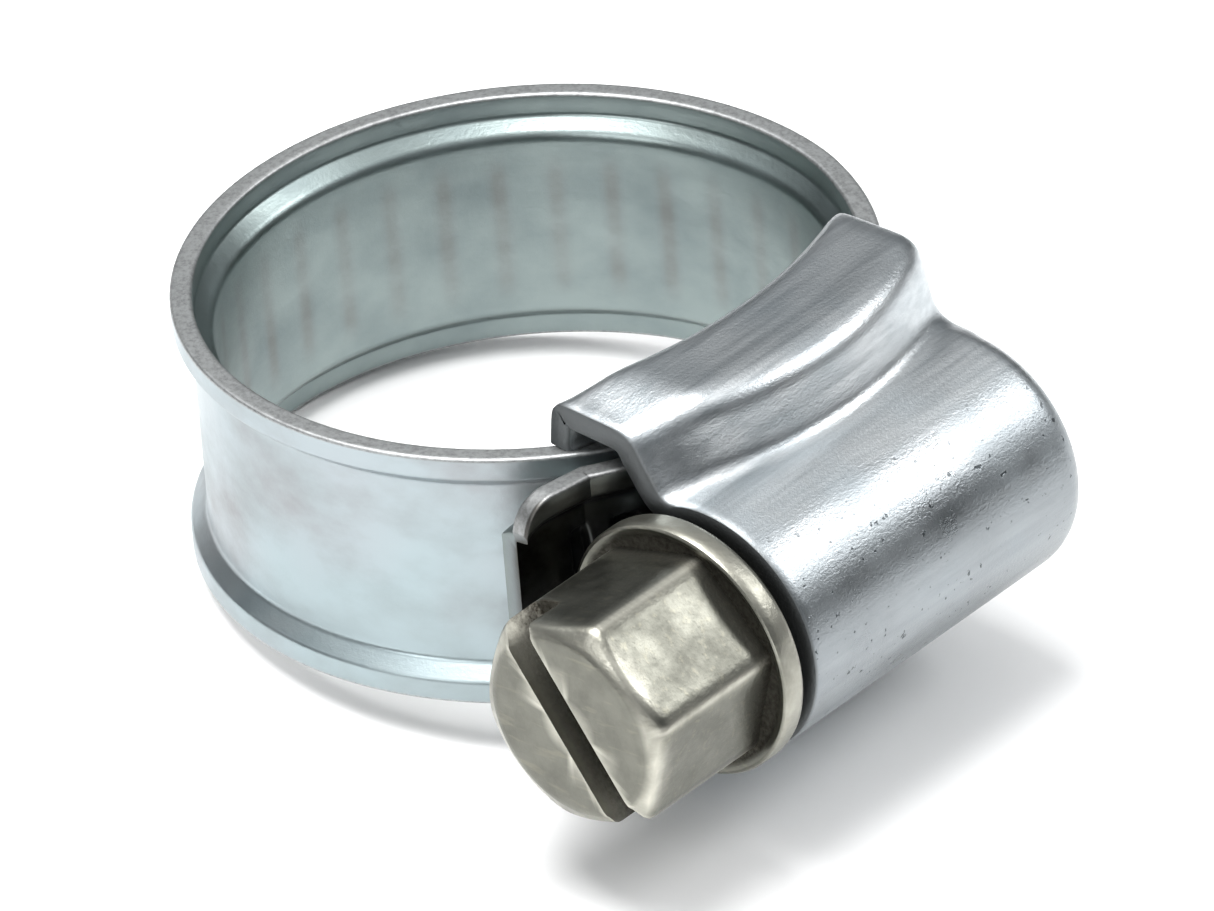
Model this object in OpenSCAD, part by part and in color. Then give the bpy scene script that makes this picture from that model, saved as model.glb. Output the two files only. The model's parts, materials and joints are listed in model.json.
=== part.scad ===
// Worm-drive hose clamp with turned-out band edges.
// Millimetres, +Z along the hose axis, origin at the centre of the hose bore.
// The housing lies towards -Y and the screw's axis is parallel to X, head towards -X.
// The flexible band is a fixed end, a chain of arc segments and a rigid grooved tail.

/* [Band] */
// Diameter of the hose bore in the pose modelled
bore_d = 20.8; // [20.6:0.1:20.9]
// Thickness of the band's sheet
band_t = 0.75; // [0.7:0.01:0.76]
// Full width of the band
band_w = 9.4; // [9:0.1:9.4]
// Width of each turned-out edge
lip_w = 1.0; // [0.8:0.1:1.2]
// How far each edge stands out from the web
lip_rise = 0.6; // [0.4:0.05:0.6]
// Number of flexing segments between the tail and the fixed end
segment_count = 12; // [12:1:12]

/* [Screw] */
// Distance from the bore's centre to the screw's axis
screw_reach = 14.15; // [14.1:0.05:14.2]
// Width of the hexagon head across its flats
hex_af = 7.0; // [6:0.1:7.2]
// Height of the hexagon head
head_h = 5.27; // [4.5:0.1:6]
// Diameter of the flange under the head
flange_d = 9.0; // [8.6:0.1:9]
// Thickness of the flange
flange_t = 1.16; // [0.9:0.02:1.16]
// Width of the screwdriver slot
slot_w = 1.2; // [1:0.1:1.6]
// Depth of the screwdriver slot
slot_depth = 1.8; // [1:0.1:2.4]
// Thread pitch of the worm
pitch = 1.9; // [1.9:0.1:1.9]
// Outside diameter of the worm's thread
worm_d = 5.7; // [5.5:0.05:5.7]

/* [Housing] */
// Length of the housing along the screw
housing_len = 13.84; // [13.84:0.01:14]
// Height of the housing along the hose
housing_h = 14.0; // [13.6:0.1:14.4]
// Outside diameter of the dome over the screw
dome_d = 8.84; // [8.7:0.02:9]
// Thickness of the housing's sheet
wall = 0.87; // [0.8:0.01:0.9]

/* [Hidden] */
bore_r = bore_d / 2;
housing_x0 = -7.8;
housing_x1 = housing_x0 + housing_len;
housing_mid = [-0.5, 1.0];   // centre of the shallow curve of the side walls in plan
shoulder_r = 14.7;           // their outer radius about that centre
shoulder_round = 1.6;        // rounding of the side walls' outer corners
saddle_mid = [-0.5, 8.6];    // centre of the flat curve that trims the inner edges
saddle_r = 18;
running_gap = 0.05;          // running clearance of the screw's bearings
edge_gap = 0.05;             // between the band's edges and the channel's sides

// The tail runs on a flatter arc than the ring: its centre lies away from the bore's
tail_mid = [-1.2, 0.9];
join_angle = -18;            // where the tail meets the first segment, about the bore
join = bore_r * [cos(join_angle), sin(join_angle)];
tail_r = norm(join - tail_mid);
join_tail_angle = atan2(join.y - tail_mid.y, join.x - tail_mid.x);
bend_angle = 235.1 - 360;    // where the free end bends outward, about the tail's centre
tip_slope = 10;              // slope of the free end to the screw's axis
tip_len = 2.75;
tip_round = 2.0;

free_angle = 228;            // where the last segment ends, inside the housing
fixed_gap = 0.5;             // degrees between the last segment and the fixed end
saddle_from = 250.5;         // the saddle under the tail, about the bore
saddle_to = 283;
segment_step = (free_angle - join_angle) / segment_count;
segment_gap = 0.05;          // open gap between neighbours, at the bore

groove_depth = 0.5;
groove_w = 1.05;
groove_len = 5.0;
pitch_r = tail_r + band_t - groove_depth / 2;
groove_step = pitch / (PI * pitch_r) * 180;
helix_tilt = atan(pitch / (PI * (worm_d - groove_depth)));
grooved_segments = 5;

flange_x1 = -8.37;
flange_x0 = flange_x1 - flange_t;
head_x0 = flange_x0 - head_h;
hex_turn = 15;               // the hexagon's and the slot's angles about the screw
slot_turn = 54;
neck_r = 2.4;
core_r = 2.2;
journal_r = 1.8;
worm_x0 = housing_x0 + 1.0;
worm_x1 = housing_x1 - 0.95;
thread_crest = 0.5;
thread_root = 0.95;
thread_steps = 24;           // points per turn of the thread
thread_before = 2.5;         // turns of thread on the head's side of the mesh point
thread_after = 3;
thread_last = (thread_before + thread_after) * thread_steps;

segment_names = ["band_segment_01", "band_segment_02", "band_segment_03", "band_segment_04",
    "band_segment_05", "band_segment_06", "band_segment_07", "band_segment_08",
    "band_segment_09", "band_segment_10", "band_segment_11", "band_segment_12"];
$fn = 96;

// Half of the band's section on one side of the web: [radius, z] from the bore outward
function band_side(r, side) = [
    [r, side * (band_w / 2 - 1.5 * lip_w)],
    [r + lip_rise, side * (band_w / 2 - lip_w)],
    [r + lip_rise, side * band_w / 2],
    [r + lip_rise + band_t, side * band_w / 2],
    [r + lip_rise + band_t, side * (band_w / 2 - lip_w - 0.1)],
    [r + band_t, side * (band_w / 2 - 1.5 * lip_w - 0.1)]];
function reversed(points) = [for (i = [len(points) - 1 : -1 : 0]) points[i]];

module band_section(r) {
    polygon(concat(band_side(r, -1), reversed(band_side(r, 1))));
}

// A stretch of band bent to inner radius r about mid, between two angles
module band_arc(mid, r, from, to) {
    translate([mid.x, mid.y, 0])
        rotate([0, 0, from])
            rotate_extrude(angle = to - from)
                band_section(r);
}

// A cutter for one groove in the outer face of a band of outer radius r about mid
module groove(mid, r, angle) {
    translate([mid.x, mid.y, 0])
        rotate([0, 0, angle])
            translate([r - groove_depth, 0, 0])
                rotate([helix_tilt, 0, 0])
                    translate([0, -groove_w / 2, -groove_len / 2])
                        cube([groove_depth + 0.5, groove_w, groove_len]);
}

module tip_blank() {
    rotate([90, 0, 0])
        linear_extrude(tip_len)
            band_section(0);
}

// Outline of the free end, seen square to the strip, with two round corners
module tip_outline() {
    straight = tip_len - tip_round;
    translate([-0.5, 0, 0])
        rotate([90, 0, 90])
            linear_extrude(3) {
                translate([-straight, -band_w / 2]) square([straight, band_w]);
                translate([-tip_len, tip_round - band_w / 2]) square([tip_len, band_w - 2 * tip_round]);
                for (side = [-1, 1])
                    translate([-straight, side * (band_w / 2 - tip_round)]) circle(tip_round);
            }
}

module band_tail() {
    color("#8d969b")
    difference() {
        union() {
            band_arc(tail_mid, tail_r, bend_angle, join_tail_angle - segment_gap / tail_r * 90 / PI);
            translate([tail_mid.x, tail_mid.y, 0] + tail_r * [cos(bend_angle), sin(bend_angle), 0])
                rotate([0, 0, 270 - tip_slope])
                    intersection() {
                        tip_blank();
                        tip_outline();
                    }
        }
        for (k = [-3 : 7])
            groove(tail_mid, tail_r + band_t, 270 + k * groove_step);
    }
}

module band_segment(i) {
    from = join_angle + (i - 1) * segment_step;
    half_gap = segment_gap / bore_r * 90 / PI;
    color("#8d969b")
    difference() {
        band_arc([0, 0], bore_r, from + half_gap, from + segment_step - half_gap);
        if (i <= grooved_segments)
            for (part = [1, 3])
                groove([0, 0], bore_r + band_t, from + part * segment_step / 4);
    }
}

module band_fixed_end() {
    color("#8d969b")
        band_arc([0, 0], bore_r, free_angle + fixed_gap, saddle_from);
}

// A cylinder along the screw's axis from x0 to x1
module on_screw(x0, x1, r) {
    translate([x0, -screw_reach, 0])
        rotate([0, 90, 0])
            cylinder(h = x1 - x0, r = r);
}

// A wedge-shaped sector about the bore, for cutting between two angles
module sector(from, to, r, h) {
    rotate([0, 0, from])
        rotate_extrude(angle = to - from)
            translate([0, -h / 2]) square([r, h]);
}

module rounded_side_section(r, half_h, corner) {
    translate([8, -half_h]) square([r - corner - 8, 2 * half_h]);
    translate([8, corner - half_h]) square([r - 8, 2 * (half_h - corner)]);
    for (side = [-1, 1])
        translate([r - corner, side * (half_h - corner)]) circle(corner);
}

// The side walls' outer body: a round-edged block curved about housing_mid
module side_body(r, half_h, corner, x0, x1) {
    intersection() {
        translate([housing_mid.x, housing_mid.y, 0])
            rotate([0, 0, 215])
                rotate_extrude(angle = 110)
                    rounded_side_section(r, half_h, corner);
        translate([x0, -20, -10]) cube([x1 - x0, 20, 20]);
    }
}

// The space inside the side walls, above the inner flanges
module side_hollow() {
    difference() {
        side_body(shoulder_r - wall, housing_h / 2 - wall, shoulder_round - wall,
            housing_x0 - 1, housing_x1 + 1);
        cylinder(h = 20, r = bore_r + wall, center = true);
    }
}

// The way of the band through the housing, leaving the saddle under the tail
module band_way() {
    way_h = band_w + 2 * edge_gap;
    difference() {
        sector(215, 325, shoulder_r - 2, way_h);
        intersection() {
            sector(saddle_from, saddle_to, shoulder_r, way_h + 1);
            translate([tail_mid.x, tail_mid.y, 0])
                cylinder(h = 20, r = tail_r - running_gap, center = true);
        }
    }
}

module housing() {
    color("#c9d2d8")
    difference() {
        union() {
            on_screw(housing_x0, housing_x1, dome_d / 2);
            side_body(shoulder_r, housing_h / 2, shoulder_round, housing_x0, housing_x1);
        }
        cylinder(h = 20, r = bore_r, center = true);
        translate([saddle_mid.x, saddle_mid.y, 0]) cylinder(h = 20, r = saddle_r, center = true);
        side_hollow();
        band_way();
        on_screw(housing_x0 + wall, housing_x1 - wall, dome_d / 2 - wall);
        on_screw(housing_x0 - 1, housing_x0 + 1, neck_r + running_gap);
        on_screw(housing_x1 - 1, housing_x1 + 1, journal_r + running_gap);
    }
}

// Place at step i of the thread, x along the screw's axis and r from it, offset by dx
function on_thread(i, dx, r) =
    let (turn = i * 360 / thread_steps - thread_before * 360)
    [turn / 360 * pitch + dx, r * cos(turn), r * sin(turn)];

// The four corners of the thread's ridge at step i; the ridge grows from both ends
function ridge_corners(i) =
    let (crest_r = core_r + 0.05 + (worm_d / 2 - core_r - 0.05) * min(1, i / 5, (thread_last - i) / 5))
    [on_thread(i, -thread_root / 2, core_r), on_thread(i, -thread_crest / 2, crest_r),
        on_thread(i, thread_crest / 2, crest_r), on_thread(i, thread_root / 2, core_r)];

// A flat end's corner, at step i's angle and at place x
function end_corner(i, x) = let (p = on_thread(i, 0, core_r)) [x, p.y, p.z];

// Two triangles between steps i and j of the ridge's or core's edges low and high
function cell(low_i, low_j, high_i, high_j) = [[high_i, low_i, low_j], [high_i, low_j, high_j]];

// The same face seen from its other side, with the same first corner
function turned_over(face) = [for (i = [0 : len(face) - 1]) face[(len(face) - i) % len(face)]];

// Core and helical ridge as one closed surface, so that the thread is part of the core
module worm_body() {
    n = thread_steps;
    last = thread_last;
    start = 4 * (last + 1);       // first corner of the flat end towards the head
    stop = start + n;             // first corner of the flat end away from it
    points = concat(
        [for (i = [0 : last]) each ridge_corners(i)],
        [for (i = [0 : n - 1]) end_corner(i, worm_x0 - tail_mid.x)],
        [for (i = [0 : n - 1]) end_corner(i, worm_x1 - tail_mid.x)]);
    ridge = [for (i = [0 : last - 1], k = [0 : 2])
        each cell(4 * i + k, 4 * i + 4 + k, 4 * i + k + 1, 4 * i + 5 + k)];
    core = [for (i = [0 : last - n - 1])
        each cell(4 * i + 3, 4 * i + 7, 4 * (i + n), 4 * (i + n) + 4)];
    start_skirt = [for (i = [0 : n - 2])
        each cell(start + i, start + i + 1, 4 * i, 4 * i + 4)];
    stop_skirt = [for (i = [last - n + 1 : last - 1])
        each cell(4 * i + 3, 4 * i + 7, stop + i % n, stop + (i + 1) % n)];
    closing = [
        [4 * n - 4, start + n - 1, start, 0, 3, 4 * n],
        [4 * (last - n) + 7, stop + (last - n + 1) % n, stop + (last - n) % n,
            4 * last + 3, 4 * last, 4 * (last - n) + 3],
        [0, 1, 2, 3],
        [4 * last, 4 * last + 3, 4 * last + 2, 4 * last + 1],
        [for (i = [n - 1 : -1 : 0]) start + i],
        [for (i = [0 : n - 1]) stop + i]];
    faces = [for (face = concat(ridge, core, start_skirt, stop_skirt, closing)) turned_over(face)];
    translate([tail_mid.x, -screw_reach, 0])
        polyhedron(points, faces);
}

// Half outline of the head, turned about the screw's axis: it rounds off the hexagon's corners
module head_outline(corner_r, chamfer_r) {
    rotate_extrude()
        polygon([[0, 0], [chamfer_r, 0], [corner_r + 0.1, (corner_r + 0.1 - chamfer_r) * tan(30)],
            [corner_r + 0.1, head_h + 0.2], [0, head_h + 0.2]]);
}

module hex_head() {
    corner_r = hex_af / 2 / cos(30);
    translate([head_x0, -screw_reach, 0])
        rotate([0, 90, 0])
            intersection() {
                rotate([0, 0, hex_turn]) cylinder(h = head_h + 0.1, r = corner_r, $fn = 6);
                head_outline(corner_r, hex_af / 2 + 0.1);
            }
}

module worm_screw() {
    color("#a7a596")
    difference() {
        union() {
            hex_head();
            on_screw(flange_x0, flange_x1, flange_d / 2);
            on_screw(flange_x1 - 0.1, worm_x0 + 0.1, neck_r);
            on_screw(worm_x1 - 0.3, housing_x1 + 0.2, journal_r);
            worm_body();
        }
        translate([head_x0 - 1, -screw_reach, 0])
            rotate([slot_turn, 0, 0])
                translate([0, -hex_af, -slot_w / 2])
                    cube([slot_depth + 1, 2 * hex_af, slot_w]);
    }
}

housing();
worm_screw();
band_fixed_end();
band_tail();
for (i = [1 : segment_count])
    band_segment(i);
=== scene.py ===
import json
import math

import bmesh
import bpy
import numpy as np
from mathutils import Matrix, Vector

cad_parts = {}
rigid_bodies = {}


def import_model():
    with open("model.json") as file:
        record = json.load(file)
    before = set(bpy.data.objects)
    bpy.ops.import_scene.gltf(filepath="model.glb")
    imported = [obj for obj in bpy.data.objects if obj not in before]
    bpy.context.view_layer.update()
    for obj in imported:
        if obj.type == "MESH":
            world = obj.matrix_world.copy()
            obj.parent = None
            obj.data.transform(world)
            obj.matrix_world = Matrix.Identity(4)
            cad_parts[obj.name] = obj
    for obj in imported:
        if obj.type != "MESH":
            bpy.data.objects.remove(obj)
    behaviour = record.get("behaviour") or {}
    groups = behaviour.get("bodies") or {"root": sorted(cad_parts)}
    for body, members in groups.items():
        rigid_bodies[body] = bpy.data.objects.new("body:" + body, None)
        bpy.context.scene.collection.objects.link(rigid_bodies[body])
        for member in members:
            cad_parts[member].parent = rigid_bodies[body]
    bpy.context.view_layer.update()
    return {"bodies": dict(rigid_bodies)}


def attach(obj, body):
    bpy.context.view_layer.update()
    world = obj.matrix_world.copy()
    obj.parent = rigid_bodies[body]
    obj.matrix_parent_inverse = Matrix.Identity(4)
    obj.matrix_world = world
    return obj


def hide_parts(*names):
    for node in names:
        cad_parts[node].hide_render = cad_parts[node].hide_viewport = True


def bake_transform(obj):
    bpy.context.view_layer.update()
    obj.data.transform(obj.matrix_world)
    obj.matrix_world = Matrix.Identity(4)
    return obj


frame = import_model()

bl_info = {
    "name": "Worm-drive hose clamp",
    "version": (1, 0, 0),
    "blender": (4, 5, 0),
    "location": "View3D > Sidebar > Hose clamp",
    "description": "Builds the clamp's pressed housing, its band and its screw around the packed model",
    "category": "Object",
}

MM = 0.001
SEGMENTS = [name for name in sorted(frame["bodies"]) if name.startswith("segment_")]

# The path of the band, seen along the hose axis, in millimetres about the bore's centre
TAIL_MID = np.array([-1.2, 0.9])     # centre of the grooved tail's flatter arc
TAIL_BEND = math.radians(235.1 - 360)
TIP_SLOPE = math.radians(10)
TIP_LENGTH = 3.0
JOIN_ANGLE = math.radians(-18)
FREE_ANGLE = math.radians(228)
FIXED_TO = math.radians(250.5)
SCREW_Y = -14.15                     # the screw's axis is parallel to X at this height
HEAD_FACE = -14.8                    # X of the screw head's face
HOUSING_FRONT = -7.8                 # X of the housing's mouth
HOUSING_REAR = 6.04                  # X of its turned-in rear end
WORM_PITCH = 1.9                     # band drawn in by one turn of the screw
WORM_BITE = 0.25                     # how far under the strip's outer face the worm takes hold
LAST_GROOVE = math.radians(98)       # the grooves go on round the ring to this angle
OPEN_HINGE = 6                       # segments 6 and 7 meet at this hinge without a joint
TAIL_SHADE_TO = -8.0                      # the tail is painted dark as painted shade from its tip to this length, in millimetres
FLOOR_TILT = math.radians(5.4)       # the clamp leans on its housing and the far edge of its band


# ---------------------------------------------------------------- sizes and colours

class HousingSettings(bpy.types.PropertyGroup):
    wall: bpy.props.FloatProperty(
        name="Wall", description="Thickness of the housing's sheet",
        default=0.87 * MM, unit="LENGTH")
    dome_radius: bpy.props.FloatProperty(
        name="Dome radius", description="Outside radius of the dome over the screw",
        default=4.42 * MM, unit="LENGTH")
    cut_edge: bpy.props.FloatProperty(
        name="Cut edge", description="Rounding of the housing's sheared edges",
        default=0.16 * MM, unit="LENGTH")
    zinc: bpy.props.StringProperty(
        name="Zinc", description="Colour of the bright blue-white zinc, as sRGB hex",
        default="#CBCFD1")
    streak: bpy.props.StringProperty(
        name="Streaks", description="Colour of the darker drawn streaks, as sRGB hex",
        default="#8E9498")


class BandSettings(bpy.types.PropertyGroup):
    bore_radius: bpy.props.FloatProperty(
        name="Bore radius", description="Radius of the ring's inner face",
        default=10.4 * MM, unit="LENGTH")
    thickness: bpy.props.FloatProperty(
        name="Thickness", description="Thickness of the band's strip",
        default=0.75 * MM, unit="LENGTH")
    width: bpy.props.FloatProperty(
        name="Width", description="Width of the band over its turned-out edges",
        default=9.4 * MM, unit="LENGTH")
    lip_rise: bpy.props.FloatProperty(
        name="Edge rise", description="How far the turned-out edges stand out from the strip",
        default=0.6 * MM, unit="LENGTH")
    groove_depth: bpy.props.FloatProperty(
        name="Groove depth", description="Depth of the grooves that the worm pulls on",
        default=0.42 * MM, unit="LENGTH")
    groove_pitch: bpy.props.FloatProperty(
        name="Groove pitch", description="Spacing of the grooves along the band",
        default=WORM_PITCH * MM, unit="LENGTH")
    outer: bpy.props.StringProperty(
        name="Outer face", description="Colour of the band's outer face, as sRGB hex",
        default="#A2AAAE")
    inner: bpy.props.StringProperty(
        name="Inner face", description="Colour of the band's inner face, as sRGB hex",
        default="#8A9594")
    stain: bpy.props.StringProperty(
        name="Stains", description="Colour of the cloudy storage stains, as sRGB hex",
        default="#8A8583")


class ScrewSettings(bpy.types.PropertyGroup):
    across_flats: bpy.props.FloatProperty(
        name="Across flats", description="Width of the hexagon head across its flats",
        default=7.0 * MM, unit="LENGTH")
    head_height: bpy.props.FloatProperty(
        name="Head height", description="Height of the hexagon head",
        default=5.27 * MM, unit="LENGTH")
    slot_width: bpy.props.FloatProperty(
        name="Slot width", description="Width of the screwdriver slot",
        default=1.2 * MM, unit="LENGTH")
    slot_depth: bpy.props.FloatProperty(
        name="Slot depth", description="Depth of the screwdriver slot",
        default=1.8 * MM, unit="LENGTH")
    slot_angle: bpy.props.FloatProperty(
        name="Slot angle", description="Turn of the slot about the screw's axis",
        default=math.radians(54), subtype="ANGLE")
    hex_angle: bpy.props.FloatProperty(
        name="Hexagon angle", description="Turn of one corner of the hexagon about the screw's axis",
        default=math.radians(45), subtype="ANGLE")
    flange_radius: bpy.props.FloatProperty(
        name="Flange radius", description="Radius of the flange under the head",
        default=4.5 * MM, unit="LENGTH")
    steel: bpy.props.StringProperty(
        name="Steel", description="Colour of the screw's dull plating, as sRGB hex",
        default="#74746C")
    worn: bpy.props.StringProperty(
        name="Worn edges", description="Colour of the screw's worn bright edges, as sRGB hex",
        default="#C9C7BB")


class StageSettings(bpy.types.PropertyGroup):
    floor: bpy.props.StringProperty(
        name="Floor", description="Colour of the floor, as sRGB hex", default="#FAFAFA")
    daylight: bpy.props.FloatProperty(
        name="Daylight", description="Strength of the even light from all round", default=1.0, min=0.0)
    key_power: bpy.props.FloatProperty(
        name="Key light", description="Power of the main soft light", default=1.1, unit="POWER")


# ---------------------------------------------------------------- materials

ATTRIBUTE = "ShaderNodeAttribute"
BUMP = "ShaderNodeBump"
MATHS = "ShaderNodeMath"
MIX = "ShaderNodeMix"
RAMP = "ShaderNodeValToRGB"
RANGE = "ShaderNodeMapRange"
SPLIT = "ShaderNodeSeparateXYZ"
BLEND = {"settings": {"data_type": "RGBA"}, "output": 2}
MULTIPLY = {"settings": {"data_type": "RGBA", "blend_type": "MULTIPLY"}, "output": 2}
SHARE, FIRST, SECOND = 0, 6, 7       # a colour mix's inputs
EVEN = (1, 1, 1)                     # a pattern that isn't stretched along the piece


def linear(code):
    """Linear colour of an sRGB hex code such as #C9D0D5."""
    parts = [int(code[i:i + 2], 16) / 255 for i in (1, 3, 5)]
    return (*[c / 12.92 if c <= 0.04045 else ((c + 0.055) / 1.055) ** 2.4 for c in parts], 1.0)


def grey(value):
    """A plain number as the grey that a colour input holds."""
    return (value, value, value, 1.0)


def add_node(tree, kind, inputs=None, settings=None, stops=(), output=0):
    """Adds a node, links or sets its inputs, gives a ramp its stops, and returns one output."""
    node = tree.nodes.new(kind)
    for key, value in (settings or {}).items():
        setattr(node, key, value)
    for key, value in (inputs or {}).items():
        if isinstance(value, bpy.types.NodeSocket):
            tree.links.new(value, node.inputs[key])
        else:
            node.inputs[key].default_value = value
    if stops:
        elements = node.color_ramp.elements
        while len(elements) < len(stops):
            elements.new(0.5)
        for element, (position, colour) in zip(elements, stops):
            element.position = position
            element.color = colour if isinstance(colour, tuple) else grey(colour)
    return node.outputs[output]


def start_material(name):
    """A new node material with an empty tree and a principled shader on its output."""
    material = bpy.data.materials.new(name)
    material.use_nodes = True
    tree = material.node_tree
    tree.nodes.clear()
    surface = add_node(tree, "ShaderNodeBsdfPrincipled", {"Metallic": 1.0})
    tree.links.new(surface, tree.nodes.new("ShaderNodeOutputMaterial").inputs["Surface"])
    return material, tree, surface.node


def lay_patterns(tree, coords, patterns):
    """Cloudy patterns, each with the size of its blotches in mm, its stretch, detail and roughness."""
    laid = []
    for size, stretch, detail, rough in patterns:
        scale = [1 / (size * s) for s in stretch]
        mapped = add_node(tree, "ShaderNodeMapping", {"Vector": coords, "Scale": scale})
        laid.append(add_node(tree, "ShaderNodeTexNoise", output="Fac", inputs={
            "Vector": mapped, "Scale": 1.0, "Detail": detail, "Roughness": rough}))
    return laid


def bright_zinc(settings):
    """Electroplated zinc, blue passivated, on deep-drawn steel sheet.

    The plate itself is a cool satin mirror. Drawing the sheet leaves fine lengthwise streaks
    and a grain of about 0.1 mm. Low on the dome it has small pits and its colour is painted
    darker there as painted shade, and its sheared edges are grey."""
    material, tree, shader = start_material("bright_zinc_on_drawn_steel")
    place = add_node(tree, ATTRIBUTE, settings={"attribute_name": "place"}, output="Vector")
    ridge = add_node(tree, ATTRIBUTE, settings={"attribute_name": "ridge"}, output="Fac")
    sheared = add_node(tree, ATTRIBUTE, settings={"attribute_name": "sheared"}, output="Fac")
    clouds, streaks, grain, pits = lay_patterns(tree, place, [
        (3.2, EVEN, 4.0, 0.55), (0.35, (14, 1, 1), 3.0, 0.55),
        (0.10, (1.4, 1, 1), 3.0, 0.75), (0.30, EVEN, 2.0, 0.60)])
    low = add_node(tree, RANGE, {"Value": add_node(tree, SPLIT, {"Vector": place}, output="Y"),
                                 "From Min": -15.6, "From Max": -18.0, "To Min": 0.0, "To Max": 1.0})
    pitted = add_node(tree, RAMP, {"Fac": pits}, stops=[(0.67, 0.0), (0.72, 1.0)])
    pitted = add_node(tree, MIX, {SHARE: 1.0, FIRST: pitted, SECOND: low}, **MULTIPLY)
    # Painted shade: the colour goes darker towards the bottom of the dome, in cloudy patches
    wear_and_shade = add_node(tree, RAMP, {"Fac": clouds}, stops=[(0.25, 1.0), (0.75, 0.6)])
    wear_and_shade = add_node(tree, MIX, {SHARE: 1.0, FIRST: low, SECOND: wear_and_shade}, **MULTIPLY)

    streaked = add_node(tree, RAMP, {"Fac": streaks}, stops=[(0.38, 0.0), (0.68, 0.55)])
    base = add_node(tree, MIX, {SHARE: streaked, FIRST: linear(settings.zinc),
                                SECOND: linear(settings.streak)}, **BLEND)
    cloudy = add_node(tree, RAMP, {"Fac": clouds}, stops=[(0.40, 0.0), (0.66, 0.42)])
    for share, colour in ((cloudy, "#9AA5AB"), (wear_and_shade, "#7E8386"), (pitted, "#4C5154"),
                          (sheared, "#66696A")):
        base = add_node(tree, MIX, {SHARE: share, FIRST: base, SECOND: linear(colour)}, **BLEND)
    tree.links.new(base, shader.inputs["Base Color"])

    cloudy = add_node(tree, RAMP, {"Fac": clouds}, stops=[(0.35, 0.0), (0.70, 1.0)])
    rough = grey(0.27)
    for share, value in ((cloudy, 0.40), (ridge, 0.32), (sheared, 0.52)):
        rough = add_node(tree, MIX, {SHARE: share, FIRST: rough, SECOND: grey(value)}, **BLEND)
    tree.links.new(rough, shader.inputs["Roughness"])

    height = add_node(tree, MIX, {SHARE: 0.25, FIRST: grain, SECOND: streaks}, **BLEND)
    height = add_node(tree, MIX, {SHARE: pitted, FIRST: height, SECOND: grey(0.0)}, **BLEND)
    relief = add_node(tree, BUMP, {"Height": height, "Strength": 0.9, "Distance": 0.022 * MM})
    tree.links.new(relief, shader.inputs["Normal"])
    return material


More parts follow.
